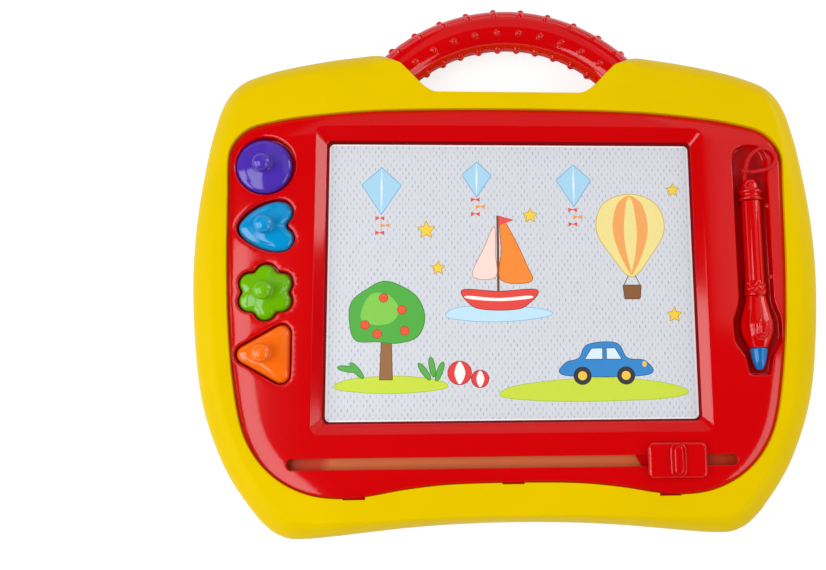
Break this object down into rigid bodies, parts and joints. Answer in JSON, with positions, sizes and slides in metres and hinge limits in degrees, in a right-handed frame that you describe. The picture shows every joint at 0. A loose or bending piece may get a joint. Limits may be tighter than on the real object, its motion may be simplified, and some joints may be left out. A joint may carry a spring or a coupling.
{
  "type": "magnetic drawing board",
  "caption": "Child's magnetic drawing board with a bowed carry handle, a slide-across eraser, shaped magnet stamps and a tethered pen lying in pockets of a raised case.",
  "frame": {"origin": "middle of the whole board's bounding box in X and Y, on the flat back of the case, which the board lies on", "axes": "+Z out of the drawing face, +Y up the board towards the carry handle, +X to the right of someone who draws on it"},
  "size_m": [0.42, 0.359, 0.0372],
  "materials": {
    "yellow_case": "smooth, moderately glossy injection-moulded plastic",
    "red_moulding": "smooth glossy injection-moulded plastic",
    "purple_moulding": "glossy moulded plastic",
    "blue_moulding": "glossy moulded plastic",
    "green_moulding": "glossy moulded plastic",
    "orange_moulding": "glossy moulded plastic",
    "white_moulding": "plain moulded plastic, hidden inside",
    "screen_film": "smooth translucent film over a field of small cells, with a light print",
    "screen_core": "pale film and honeycomb cells, hidden behind the front film",
    "magnet": "dark grey bonded magnet",
    "braided_cord": "red braided cord",
    "screw_steel": "zinc-plated steel"
  },
  "bodies": {
    "board": {"front_frame": "yellow_case", "rear_cover": "yellow_case", "front_panel": "red_moulding", "handle_front_half": "red_moulding", "handle_rear_half": "red_moulding", "screen_film": "screen_film", "screen_core": "screen_core", "screen_back": "screen_core", "screen_clamp_frame": "white_moulding", "case_screw_1": "screw_steel", "case_screw_2": "screw_steel", "case_screw_3": "screw_steel", "case_screw_4": "screw_steel", "case_screw_5": "screw_steel", "case_screw_6": "screw_steel", "case_screw_7": "screw_steel", "case_screw_8": "screw_steel", "case_screw_9": "screw_steel", "case_screw_10": "screw_steel", "clamp_screw_1": "screw_steel", "clamp_screw_2": "screw_steel", "clamp_screw_3": "screw_steel", "clamp_screw_4": "screw_steel", "clamp_screw_5": "screw_steel", "clamp_screw_6": "screw_steel", "clamp_screw_7": "screw_steel", "clamp_screw_8": "screw_steel"},
    "eraser": {"eraser_knob": "red_moulding", "eraser_bar": "red_moulding", "eraser_magnet_strip": "magnet", "knob_screw_1": "screw_steel", "knob_screw_2": "screw_steel"},
    "pen": {"pen_tail_cap": "red_moulding", "pen_barrel": "red_moulding", "pen_bulb": "red_moulding", "pen_tip": "blue_moulding", "pen_tip_magnet": "magnet", "pen_cord": "braided_cord", "pen_cord_knot": "braided_cord"},
    "round_stamp": {"round_stamp": "purple_moulding", "round_stamp_magnet": "magnet"},
    "heart_stamp": {"heart_stamp": "blue_moulding", "heart_stamp_magnet": "magnet"},
    "flower_stamp": {"flower_stamp": "green_moulding", "flower_stamp_magnet": "magnet"},
    "triangle_stamp": {"triangle_stamp": "orange_moulding", "triangle_stamp_magnet": "magnet"}
  },
  "joints": [
    {"name": "eraser_slide", "type": "slide", "parent": "board", "child": "eraser", "axis": [1, 0, 0], "range_m": [-0.2325, 0.0225]},
    {"name": "pen_lift", "type": "slide", "parent": "board", "child": "pen", "axis": [0, 0, 1], "range_m": [0, 0.05]},
    {"name": "round_stamp_lift", "type": "slide", "parent": "board", "child": "round_stamp", "axis": [0, 0, 1], "range_m": [0, 0.05]},
    {"name": "heart_stamp_lift", "type": "slide", "parent": "board", "child": "heart_stamp", "axis": [0, 0, 1], "range_m": [0, 0.05]},
    {"name": "flower_stamp_lift", "type": "slide", "parent": "board", "child": "flower_stamp", "axis": [0, 0, 1], "range_m": [0, 0.05]},
    {"name": "triangle_stamp_lift", "type": "slide", "parent": "board", "child": "triangle_stamp", "axis": [0, 0, 1], "range_m": [0, 0.05]}
  ]
}
